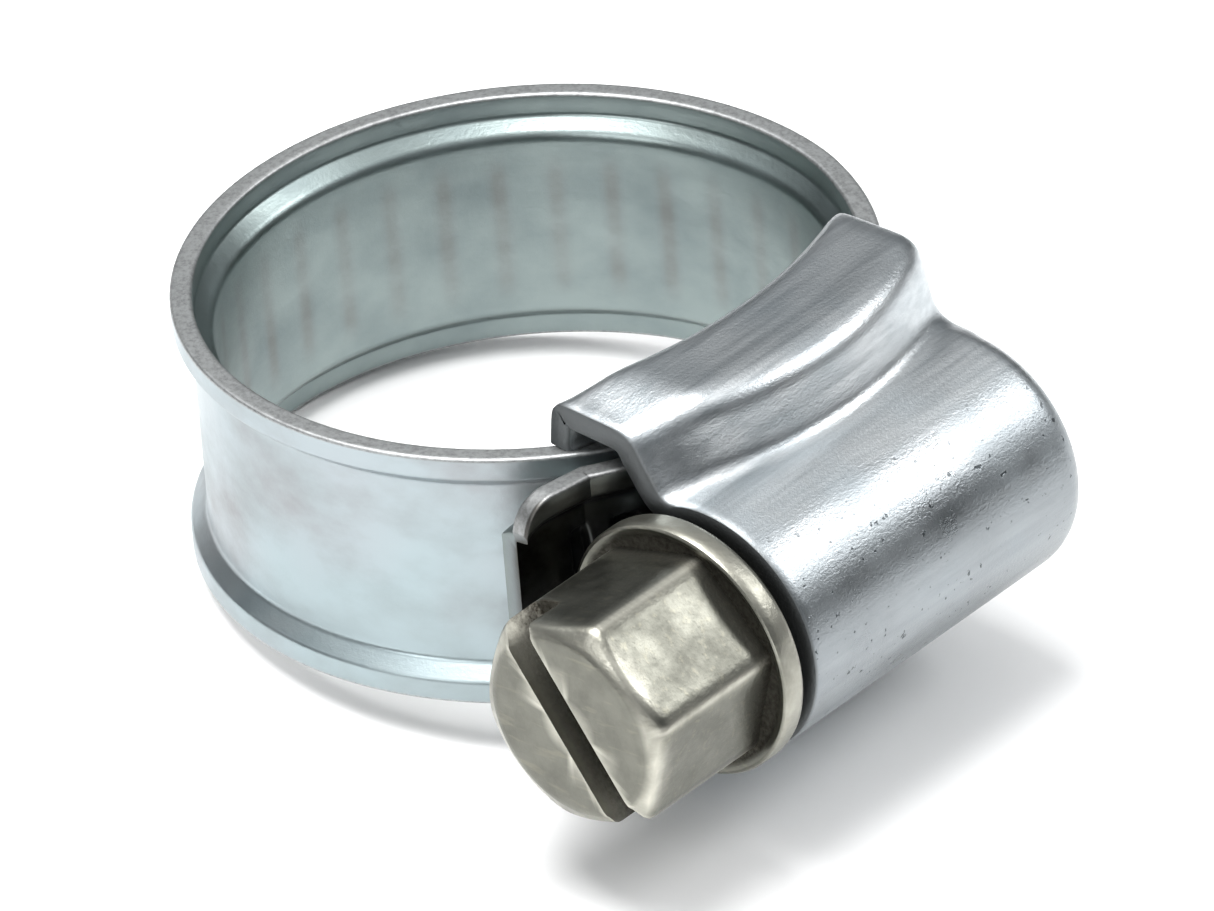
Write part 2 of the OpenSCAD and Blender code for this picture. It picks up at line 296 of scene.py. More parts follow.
def band_zinc(settings):
    """Zinc-plated cold-rolled strip, sheared to width and stored.

    Rolling leaves it smooth and half dull. Storage clouds the outer face with brown-grey
    stains, the rolled grooves press through to the inner face where their backs are stripes of
    painted shade, the sheared edges are speckled where the plate is thin, and the tail near the
    worm is painted dark as painted shade."""
    material, tree, shader = start_material("zinc_plated_rolled_strip")
    strip = add_node(tree, ATTRIBUTE, settings={"attribute_name": "strip"}, output="Vector")
    side = add_node(tree, ATTRIBUTE, settings={"attribute_name": "side"}, output="Fac")
    sheared = add_node(tree, ATTRIBUTE, settings={"attribute_name": "sheared"}, output="Fac")
    grime = add_node(tree, ATTRIBUTE, settings={"attribute_name": "grime"}, output="Fac")
    clouds, specks, lines, tint = lay_patterns(tree, strip, [
        (2.6, (1.5, 1, 1), 5.0, 0.62), (0.17, EVEN, 3.0, 0.70),
        (0.16, (26, 1, 1), 2.0, 0.55), (7.0, EVEN, 2.0, 0.55)])

    stained = add_node(tree, RAMP, {"Fac": clouds}, stops=[(0.42, 0.0), (0.70, 0.50)])
    outer = add_node(tree, MIX, {SHARE: stained, FIRST: linear(settings.outer),
                                 SECOND: linear(settings.stain)}, **BLEND)
    tinted = add_node(tree, RAMP, {"Fac": tint}, stops=[(0.40, 0.0), (0.65, 0.45)])
    outer = add_node(tree, MIX, {SHARE: tinted, FIRST: outer, SECOND: linear("#9FB3B6")}, **BLEND)

    # Painted shade of each pressed groove's back on the inner face, every 1.9 mm along the strip
    # and about half as wide
    turns = add_node(tree, MATHS, {0: add_node(tree, SPLIT, {"Vector": strip}, output="X"),
                                   1: 2 * math.pi / (settings.groove_pitch / MM)},
                     {"operation": "MULTIPLY"})
    wave = add_node(tree, MATHS, {0: turns}, {"operation": "SINE"})
    groove_back_shade = add_node(tree, RAMP, {"Fac": wave}, stops=[(0.0, 0.0), (0.55, 0.35), (0.95, 1.0)])
    across = add_node(tree, MATHS, {0: add_node(tree, SPLIT, {"Vector": strip}, output="Z")},
                      {"operation": "ABSOLUTE"})
    middle = add_node(tree, RANGE, {"Value": across, "From Min": 2.9, "From Max": 2.0,
                                    "To Min": 0.0, "To Max": 1.0})
    patchy = add_node(tree, RAMP, {"Fac": clouds}, stops=[(0.34, 0.12), (0.70, 0.45)])
    for share in (middle, patchy):
        groove_back_shade = add_node(tree, MIX, {SHARE: 1.0, FIRST: groove_back_shade, SECOND: share}, **MULTIPLY)
    cloudy = add_node(tree, RAMP, {"Fac": clouds}, stops=[(0.40, 0.0), (0.70, 0.35)])
    inner = add_node(tree, MIX, {SHARE: cloudy, FIRST: linear(settings.inner),
                                 SECOND: linear("#6F7C80")}, **BLEND)
    inner = add_node(tree, MIX, {SHARE: groove_back_shade, FIRST: inner, SECOND: linear("#77706C")}, **BLEND)

    speckled = add_node(tree, RAMP, {"Fac": specks}, stops=[(0.42, 0.0), (0.66, 0.6)])
    edge = add_node(tree, MIX, {SHARE: speckled, FIRST: linear("#B2B4B4"),
                                SECOND: linear("#7F8080")}, **BLEND)
    is_inner = add_node(tree, RAMP, {"Fac": side}, stops=[(0.0, 0.0), (0.5, 0.0), (1.0, 1.0)])
    # Painted shade: the tail near the worm is painted dark brown-grey where it lies in shadow
    shaded_tail = add_node(tree, RAMP, {"Fac": clouds}, stops=[(0.30, 1.0), (0.70, 0.72)])
    shaded_tail = add_node(tree, MIX, {SHARE: 1.0, FIRST: grime, SECOND: shaded_tail}, **MULTIPLY)
    base = outer
    for share, colour in ((is_inner, inner), (sheared, edge), (shaded_tail, linear("#35312B"))):
        base = add_node(tree, MIX, {SHARE: share, FIRST: base, SECOND: colour}, **BLEND)
    tree.links.new(base, shader.inputs["Base Color"])

    cloudy = add_node(tree, RAMP, {"Fac": clouds}, stops=[(0.35, 0.0), (0.68, 1.0)])
    rough = grey(0.30)
    for share, value in ((cloudy, 0.46), (sheared, 0.48)):
        rough = add_node(tree, MIX, {SHARE: share, FIRST: rough, SECOND: grey(value)}, **BLEND)
    tree.links.new(rough, shader.inputs["Roughness"])

    height = add_node(tree, MIX, {SHARE: 0.45, FIRST: lines, SECOND: specks}, **BLEND)
    cloudy = add_node(tree, RAMP, {"Fac": clouds}, stops=[(0.2, 0.0), (0.8, 1.0)])
    height = add_node(tree, MIX, {SHARE: cloudy, FIRST: height, SECOND: specks}, **BLEND)
    relief = add_node(tree, BUMP, {"Height": height, "Strength": 0.8, "Distance": 0.014 * MM})
    tree.links.new(relief, shader.inputs["Normal"])
    return material


def dull_plate(settings):
    """Thin dull zinc plate on a cold-headed and rolled screw, worn by handling.

    Tumbling leaves a warm grey satin with brighter rubbed edges and fine yellowish scratches.
    The slot, the head's foot, the flange's face round the head and the neck behind it are dark
    brown, partly dirt and partly painted shade."""
    material, tree, shader = start_material("dull_plated_headed_steel")
    place = add_node(tree, ATTRIBUTE, settings={"attribute_name": "place"}, output="Vector")
    worn = add_node(tree, ATTRIBUTE, settings={"attribute_name": "worn"}, output="Fac")
    dirt = add_node(tree, ATTRIBUTE, settings={"attribute_name": "dirt"}, output="Fac")
    clouds, grain, scratch = lay_patterns(tree, place, [
        (1.3, EVEN, 4.0, 0.62), (0.16, EVEN, 3.0, 0.70), (0.22, (1, 6, 1), 2.0, 0.55)])
    wear_and_shade = add_node(tree, RAMP, {"Fac": clouds}, stops=[(0.30, 1.0), (0.75, 0.45)])
    wear_and_shade = add_node(tree, MIX, {SHARE: 1.0, FIRST: worn, SECOND: wear_and_shade}, **MULTIPLY)
    # Dark brown, partly dirt and partly painted shade in the slot, round the head and in the neck
    dirty = add_node(tree, RAMP, {"Fac": grain}, stops=[(0.30, 1.0), (0.62, 0.55)])
    dirty = add_node(tree, MIX, {SHARE: 1.0, FIRST: dirt, SECOND: dirty}, **MULTIPLY)

    cloudy = add_node(tree, RAMP, {"Fac": clouds}, stops=[(0.38, 0.0), (0.66, 0.7)])
    scratched = add_node(tree, RAMP, {"Fac": scratch}, stops=[(0.58, 0.0), (0.70, 0.3)])
    base = linear(settings.steel)
    for share, colour in ((cloudy, "#62625B"), (scratched, "#8F8C7C"), (wear_and_shade, settings.worn),
                          (dirty, "#2E2821")):
        base = add_node(tree, MIX, {SHARE: share, FIRST: base, SECOND: linear(colour)}, **BLEND)
    tree.links.new(base, shader.inputs["Base Color"])

    cloudy = add_node(tree, RAMP, {"Fac": clouds}, stops=[(0.3, 0.0), (0.7, 1.0)])
    rough = grey(0.30)
    for share, value in ((cloudy, 0.44), (dirty, 0.75)):
        rough = add_node(tree, MIX, {SHARE: share, FIRST: rough, SECOND: grey(value)}, **BLEND)
    tree.links.new(rough, shader.inputs["Roughness"])

    height = add_node(tree, MIX, {SHARE: 0.4, FIRST: grain, SECOND: scratch}, **BLEND)
    relief = add_node(tree, BUMP, {"Height": height, "Strength": 0.8, "Distance": 0.022 * MM})
    tree.links.new(relief, shader.inputs["Normal"])
    return material


def matt_board(settings):
    """Smooth matt-lacquered white board: an even pale ground with a trace of tooth."""
    material, tree, shader = start_material("matt_white_board")
    shader.inputs["Metallic"].default_value = 0.0
    shader.inputs["Roughness"].default_value = 0.85
    coords = add_node(tree, "ShaderNodeTexCoord", output="Object")
    tooth = add_node(tree, "ShaderNodeTexNoise", {"Vector": coords, "Scale": 900.0, "Detail": 2.0},
                     output="Fac")
    tooth = add_node(tree, RAMP, {"Fac": tooth}, stops=[(0.3, 0.0), (0.7, 0.06)])
    base = add_node(tree, MIX, {SHARE: tooth, FIRST: linear(settings.floor),
                                SECOND: linear("#F0F0EE")}, **BLEND)
    tree.links.new(base, shader.inputs["Base Color"])
    return material


# ---------------------------------------------------------------- mesh helpers

def crease_by_angle(mesh):
    """Smooth shading that breaks at real corners, so that flat ends don't shade their neighbours."""
    mesh.shade_smooth()
    mesh.set_sharp_from_angle(angle=math.radians(38))


def new_piece(name, points, faces, material, **attributes):
    """A mesh object from points in millimetres, with per-point attributes for its material."""
    mesh = bpy.data.meshes.new(name)
    mesh.from_pydata((np.asarray(points, dtype=float) * MM).tolist(), [], faces)
    for key, values in attributes.items():
        values = np.asarray(values, dtype=np.float32)
        kind = "FLOAT_VECTOR" if values.ndim == 2 else "FLOAT"
        field = "vector" if values.ndim == 2 else "value"
        mesh.attributes.new(key, kind, "POINT").data.foreach_set(field, values.ravel())
    mesh.validate()
    mesh.update()
    mesh.materials.append(material)
    crease_by_angle(mesh)
    piece = bpy.data.objects.new(name, mesh)
    bpy.context.scene.collection.objects.link(piece)
    return piece


def grid_faces(rows, columns, first=0, wrap=False, flip=False):
    """Quads of a grid of points stored row by row; wrap closes each row into a loop."""
    faces = []
    for i in range(rows - 1):
        for j in range(columns if wrap else columns - 1):
            k = (j + 1) % columns
            quad = [first + i * columns + j, first + i * columns + k,
                    first + (i + 1) * columns + k, first + (i + 1) * columns + j]
            faces.append(quad[::-1] if flip else quad)
    return faces


def smooth_corner(a, corner, b, radius, steps):
    """Points of a round of about radius between the lines a-corner and corner-b."""
    a, corner, b = (np.asarray(p, dtype=float) for p in (a, corner, b))
    u = (a - corner) / np.linalg.norm(a - corner)
    v = (b - corner) / np.linalg.norm(b - corner)
    half = math.acos(max(-1.0, min(1.0, float(u @ v)))) / 2
    reach = radius / math.tan(half)
    start = corner + u * reach
    end = corner + v * reach
    t = np.linspace(0, 1, steps)[:, None]
    return (1 - t) ** 2 * start + 2 * t * (1 - t) * corner + t ** 2 * end


def even_points(points, count):
    """Resamples a polyline to count points at even distances."""
    points = np.asarray(points, dtype=float)
    steps = np.linalg.norm(np.diff(points, axis=0), axis=1)
    along = np.concatenate([[0], np.cumsum(steps)])
    wanted = np.linspace(0, along[-1], count)
    return np.stack([np.interp(wanted, along, points[:, k]) for k in range(points.shape[1])], axis=1)


# ---------------------------------------------------------------- band

def band_profile(settings):
    """Closed section of the strip as (out from the inner face, along the hose, side, sheared)."""
    t = settings.thickness / MM
    rise = settings.lip_rise / MM
    half = settings.width / MM / 2
    lip = 0.80
    crease = half - 1.30
    round_edge = 0.14
    outside = [(t, 0.0), *[(t, z) for z in np.linspace(0.2, crease - 0.35, 14)]]
    outside += smooth_corner((t, 0), (t, crease), (t + rise, half - lip), 0.30, 6).tolist()
    outside += smooth_corner((t, crease), (t + rise, half - lip), (t + rise, half), 0.22, 5).tolist()
    outside += [(t + rise, half - 0.4)]
    outside += smooth_corner((t + rise, 0), (t + rise, half), (0, half), round_edge, 5).tolist()
    cut = [(rise + t * s, half) for s in (0.72, 0.5, 0.28)]
    inside = smooth_corner((t + rise, half), (rise, half), (rise, 0), round_edge, 5).tolist()
    inside += [(rise, half - 0.4)]
    inside += smooth_corner((rise, half), (rise, half - lip), (0, crease), 0.22, 5).tolist()
    inside += smooth_corner((rise, half - lip), (0, crease), (0, 0), 0.55, 8).tolist()
    inside += [(0.0, z) for z in np.linspace(crease - 0.4, 0.2, 14)]
    upper = [(*place, 0.0, 0.0) for place in outside]
    upper += [(*place, 0.5, 1.0) for place in cut]
    upper += [(*place, 1.0, 0.0) for place in inside]
    upper = [(r, z, side, 1.0 if abs(z - half) < 0.1 else cutting) for r, z, side, cutting in upper]
    lower = [(r, -z, side, cutting) for r, z, side, cutting in upper[:0:-1]]
    return np.array(upper + [(0.0, 0.0, 1.0, 0.0)] + lower)


def band_route(settings):
    """Stations (x, y, outward x, outward y, length) from the tail's tip to the fixed end."""
    bore = settings.bore_radius / MM
    tail_radius, join_turn = tail_radius_and_turn(bore)
    bend = TAIL_MID + tail_radius * np.array([math.cos(TAIL_BEND), math.sin(TAIL_BEND)])
    stations = []
    out_turn = -math.pi / 2 - TIP_SLOPE
    out = np.array([math.cos(out_turn), math.sin(out_turn)])
    back = np.array([out[1], -out[0]])
    tail_arc = tail_radius * (join_turn - TAIL_BEND)
    for s in np.arange(TIP_LENGTH, 0.10, -0.07):
        stations.append((*(bend + back * s), *out, -tail_arc - s))
    turn_step = 0.07 / tail_radius
    for a in np.linspace(TAIL_BEND, join_turn, int((join_turn - TAIL_BEND) / turn_step)):
        n = np.array([math.cos(a), math.sin(a)])
        stations.append((*(TAIL_MID + tail_radius * n), *n, tail_radius * (a - join_turn)))
    for a in np.linspace(JOIN_ANGLE, FIXED_TO, int((FIXED_TO - JOIN_ANGLE) / (0.08 / bore)))[1:]:
        n = np.array([math.cos(a), math.sin(a)])
        stations.append((*(bore * n), *n, bore * (a - JOIN_ANGLE)))
    stations = np.array(stations)
    # The sheet can't turn a sharp corner, so the route runs smoothly over about 0.8 mm
    kernel = np.hanning(11)
    kernel /= kernel.sum()
    for k in (0, 1, 2, 3):
        padded = np.concatenate([2 * stations[0, k] - stations[5:0:-1, k], stations[:, k],
                                 2 * stations[-1, k] - stations[-2:-7:-1, k]])
        stations[:, k] = np.convolve(padded, kernel, mode="valid")
    stations[:, 2:4] /= np.linalg.norm(stations[:, 2:4], axis=1)[:, None]
    return stations


def tail_radius_and_turn(bore):
    """Radius of the tail's inner face, and the turn at which the ring joins it."""
    join = bore * np.array([math.cos(JOIN_ANGLE), math.sin(JOIN_ANGLE)]) - TAIL_MID
    return float(np.linalg.norm(join)), math.atan2(join[1], join[0])


def groove_dip(settings, length, z, phase):
    """Depth of the pressed grooves at a place on the strip's outer face, in millimetres.

    The worm meets the tail half a millimetre outside its inner face, so the grooves are a
    little closer together where their places are measured, along the inner face."""
    radius, _ = tail_radius_and_turn(settings.bore_radius / MM)
    worm_radius = radius + settings.thickness / MM - WORM_BITE
    pitch = settings.groove_pitch / MM * radius / worm_radius
    tilt = math.tan(math.radians(6.6))
    across = (length - phase + z * tilt + pitch / 2) % pitch - pitch / 2
    flank = np.clip((0.65 - np.abs(across)) / 0.36, 0, 1)
    ends = np.clip((2.65 - np.abs(z)) / 0.45, 0, 1)
    soft = flank * flank * (3 - 2 * flank) * ends * ends * (3 - 2 * ends)
    return settings.groove_depth / MM * soft


def strip_piece(name, settings, stations, material, grooves=None, tip=False):
    """A stretch of band swept along its stations, closed at both ends."""
    profile = band_profile(settings)
    half = settings.width / MM / 2
    rows = []
    strip = []
    grime = []
    first_length = stations[0, 4]
    for x, y, nx, ny, length in stations:
        out = profile[:, 0].copy()
        z = profile[:, 1].copy()
        if grooves is not None:
            low, high, phase = grooves
            share = np.clip((length - low) / 0.6, 0, 1) * np.clip((high - length) / 0.6, 0, 1)
            face = (profile[:, 2] < 0.25) & (np.abs(z) < 2.9)
            out -= np.where(face, groove_dip(settings, length, z, phase) * share, 0)
        if tip:
            corner = 1.3
            d = corner - (length - first_length)
            if d > 0:
                limit = half - corner + math.sqrt(max(corner ** 2 - min(d, corner - 0.01) ** 2, 0.0))
                over = np.maximum(0, np.abs(z) - (half - 1.6))
                z = np.sign(z) * np.where(np.abs(z) > half - 1.6,
                                          (half - 1.6) + over * (limit - (half - 1.6)) / 1.6, np.abs(z))
        rows.append(np.stack([x + nx * out, y + ny * out, z], axis=1))
        strip.append(np.stack([np.full(len(z), length), profile[:, 0], z], axis=1))
        # Painted shade on the tail near the worm: full on the outer face, weaker on the others, fading
        # out at the sheared edges
        near_worm = np.clip((TAIL_SHADE_TO - length) / 2.0, 0, 1)
        on_face = np.clip((4.75 - np.abs(z)) / 0.25, 0, 1) * np.where(profile[:, 2] < 0.25, 1.0, 0.35)
        grime.append(near_worm * on_face)
    columns = len(profile)
    points = np.concatenate(rows)
    faces = grid_faces(len(stations), columns, wrap=True, flip=True)
    faces.append(list(range(columns)))
    faces.append(list(range((len(stations) - 1) * columns, len(stations) * columns))[::-1])
    sides = np.tile(profile[:, 2], len(stations))
    sheared = np.tile(profile[:, 3], len(stations))
    return new_piece(name, points, faces, material, strip=np.concatenate(strip),
                     side=sides, sheared=sheared, grime=np.concatenate(grime))


# ---------------------------------------------------------------- housing

def housing_section(x, dome):
    """Half of the housing's outer outline at x, as (y, z) from the inner flange to the dome's foot."""
    y_out = 1.0 - math.sqrt(14.7 ** 2 - (x + 0.5) ** 2)
    y_in = 8.6 - math.sqrt(18.0 ** 2 - (x + 0.5) ** 2)
    left = np.clip((-x - 5.2) / 2.6, 0, 1)
    left = left * left * (3 - 2 * left)
    top = 7.0 - 0.42 * left
    lean = 0.25 - 0.1 * left
    flange_end = (y_in + lean, 4.8)
    inner_corner = (y_in - 0.05, top - 0.10)
    outer_corner = (y_out + 0.15 + 0.35 * left, top - 0.05 - 0.25 * left)
    valley_y = y_out - 0.55 - 0.25 * left
    valley_z = math.sqrt(max(dome ** 2 - (valley_y - SCREW_Y) ** 2, 0.1))
    foot = (y_out - 0.12 + 0.1 * left, 5.0 - 0.25 * left)
    valley = (valley_y, valley_z)
    below = (valley_y - 1.3, math.sqrt(max(dome ** 2 - (valley_y - 1.3 - SCREW_Y) ** 2, 0.1)))
    line = [flange_end]
    line += smooth_corner(flange_end, inner_corner, outer_corner, 0.62, 9).tolist()
    line += smooth_corner(inner_corner, outer_corner, foot, 1.15, 11).tolist()
    line += smooth_corner(foot, valley, below, 0.75, 9).tolist()
    start = math.atan2(line[-1][1], line[-1][0] - SCREW_Y)
    for a in np.linspace(start, math.pi, 26)[1:]:
        line.append((SCREW_Y + dome * math.cos(a), dome * math.sin(a)))
    return line


def housing_outline(x, dome, count):
    """The whole outer outline at x, evenly spaced, from one inner flange to the other."""
    half = even_points(housing_section(x, dome), count)
    half = smooth_line(half, 2)
    mirrored = half[-2::-1] * [1, -1]
    return np.concatenate([half, mirrored])


def smooth_line(points, rounds):
    """Averages each inner point with its neighbours, which softens the outline's small corners."""
    points = points.copy()
    for _ in range(rounds):
        points[1:-1] = 0.25 * points[:-2] + 0.5 * points[1:-1] + 0.25 * points[2:]
    return points


def outline_normals(line):
    """Unit normals of an outline in its plane, pointing out of the shell."""
    along = np.gradient(line, axis=0)
    normals = np.stack([along[:, 1], -along[:, 0]], axis=1)
    return normals / np.linalg.norm(normals, axis=1)[:, None]


# ---------------------------------------------------------------- operators

class HOSECLAMP_OT_housing(bpy.types.Operator):
    """Build the pressed housing"""
    bl_idname = "hose_clamp.housing"
    bl_label = "Housing"

    def execute(self, context):
        settings = context.scene.hose_clamp_housing
        wall = settings.wall / MM
        dome = settings.dome_radius / MM
        edge = settings.cut_edge / MM
        x0 = HOUSING_FRONT
        x1 = HOUSING_REAR
        count = 90
        ease = [0.0, 0.05, 0.16]
        xs = [x0 + e for e in ease] + list(np.linspace(x0 + 0.4, x1 - 1.6, 46))
        xs += [x1 - 1.6 + 1.6 * s for s in (0.2, 0.4, 0.55, 0.7, 0.8, 0.88, 0.94, 0.98, 1.0)]
        outer, inner, ridges, cuts = [], [], [], []
        for x in xs:
            near = max(0.0, edge - (x - x0))
            shrink = edge - math.sqrt(max(edge ** 2 - near ** 2, 0.0))
            far = max(0.0, 1.0 - (x1 - x))
            turned = 0.8 * (1 - math.sqrt(max(1 - far ** 2, 0.0)))
            line = housing_outline(x, dome, count)
            normals = outline_normals(line)
            on_dome = np.clip((-13.0 - line[:, 0]) / 1.6, 0, 1)
            pull = shrink + turned * on_dome + 0.25 * turned * (1 - on_dome)
            out_line = line - normals * pull[:, None]
            in_line = line - normals * (wall - shrink + 0.6 * turned * on_dome)[:, None]
            outer.append(np.column_stack([np.full(len(line), x), out_line]))
            inner.append(np.column_stack([np.full(len(line), x), in_line]))
            ridges.append(1 - on_dome)
            cuts.append(np.full(len(line), float(x < x0 + 0.10)))
        columns = outer[0].shape[0]
        rows = len(xs)
        points = np.concatenate(outer + inner)
        faces = grid_faces(rows, columns)
        faces += grid_faces(rows, columns, first=rows * columns, flip=True)
        for j in range(columns - 1):
            for row, flip in ((0, False), (rows - 1, True)):
                a = row * columns + j
                b = rows * columns + a
                quad = [a, b, b + 1, a + 1]
                faces.append(quad[::-1] if flip else quad)
        for i in range(rows - 1):
            for column, flip in ((0, True), (columns - 1, False)):
                a = i * columns + column
                b = rows * columns + a
                quad = [a, b, b + columns, a + columns]
                faces.append(quad[::-1] if flip else quad)
        ridge = np.concatenate(ridges + ridges)
        cut = np.concatenate(cuts + cuts)
        cut.reshape(2, rows, columns)[:, :, [0, -1]] = 1.0
        material = bright_zinc(settings)
        shell = new_piece("housing_shell", points, faces, material, place=points, ridge=ridge,
                          sheared=cut)
        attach(shell, "base")
        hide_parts("housing")
        collar = self.ring("housing_front_collar", x0 + 0.25, x0 + 0.95, 2.45,
                           dome - wall + 0.06, material)
        wall_end = self.ring("housing_rear_wall", x1 - 0.87, x1 - 0.12, 1.85,
                             dome - wall - 0.25, material)
        for piece in (collar, wall_end):
            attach(piece, "base")
            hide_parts("housing")
        return {"FINISHED"}

    def ring(self, name, x0, x1, hole, radius, material):
        """A flat bearing ring about the screw's axis with rounded edges."""
        e = 0.1
        loop = [(x0, hole + e), (x0 + e, hole), (x1 - e, hole), (x1, hole + e),
                (x1, radius - e), (x1 - e, radius), (x0 + e, radius), (x0, radius - e)]
        turns = 96
        points = []
        for i in range(turns + 1):
            a = 2 * math.pi * i / turns
            points += [(x, SCREW_Y + r * math.cos(a), r * math.sin(a)) for x, r in loop]
        points = np.array(points[:turns * len(loop)])
        faces = []
        n = len(loop)
        for i in range(turns):
            for j in range(n):
                a, b = i * n + j, i * n + (j + 1) % n
                c, d = ((i + 1) % turns) * n + (j + 1) % n, ((i + 1) % turns) * n + j
                faces.append([a, b, c, d])
        return new_piece(name, points, faces, material, place=points, ridge=np.zeros(len(points)),
                         sheared=np.zeros(len(points)))


class HOSECLAMP_OT_band(bpy.types.Operator):
    """Build the band: its grooved tail, the ring and the fixed end"""
    bl_idname = "hose_clamp.band"
    bl_label = "Band"

    def execute(self, context):
        settings = context.scene.hose_clamp_band
        material = band_zinc(settings)
        stations = band_route(settings)
        bore = settings.bore_radius / MM
        step = (FREE_ANGLE - JOIN_ANGLE) / len(SEGMENTS)
        lengths = stations[:, 4]
        hinge_lengths = [bore * step * i for i in range(len(SEGMENTS) + 1)]
        middles = [-0.5 * bore * step] + [h + 0.5 * bore * step for h in hinge_lengths[:-1]] + [None]
        phase = self.groove_phase(bore)
        groove_range = (lengths[0] + WORM_PITCH, bore * LAST_GROOVE, phase)

        tail = self.stretch("band_tail_strip", settings, stations, None, middles[0], material,
                            groove_range, tip=True)
        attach(tail, "tail")
        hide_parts("band_tail")
        # Each link runs over one hinge; where the loop is open it is cut in two at the hinge
        bodies = ["tail"] + SEGMENTS + ["base"]
        nodes = [f"band_{name}" for name in SEGMENTS] + ["band_fixed_end"]
        for i, hinge_length in enumerate(hinge_lengths):
            if i == OPEN_HINGE:
                for name, low, high, body in (("before", middles[i], hinge_length, bodies[i]),
                                              ("after", hinge_length, middles[i + 1], bodies[i + 1])):
                    half = self.stretch(f"band_link_{name}_open_hinge", settings, stations, low, high,
                                        material, groove_range)
                    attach(half, body)
                    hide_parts(f"band_{body}")
                continue
            link = self.stretch(f"band_link_{i + 1:02d}", settings, stations, middles[i],
                                middles[i + 1], material, groove_range)
            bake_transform(link)
            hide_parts(nodes[i])
        return {"FINISHED"}

    def groove_phase(self, bore):
        """Length at which one groove is centred: straight under the screw on the tail's arc."""
        radius, join_turn = tail_radius_and_turn(bore)
        return radius * (-math.pi / 2 - join_turn)

    def stretch(self, name, settings, stations, low, high, material, grooves, tip=False):
        """The part of the route between two lengths, with exact ends so that neighbours meet."""
        lengths = stations[:, 4]
        low = lengths[0] if low is None else low
        high = lengths[-1] if high is None else high
        inside = stations[(lengths > low + 1e-6) & (lengths < high - 1e-6)]
        ends = [np.array([np.interp(value, lengths, stations[:, k]) for k in range(5)])
                for value in (low, high)]
        return strip_piece(name, settings, np.vstack([ends[0], inside, ends[1]]), material,
                           grooves=grooves, tip=tip)


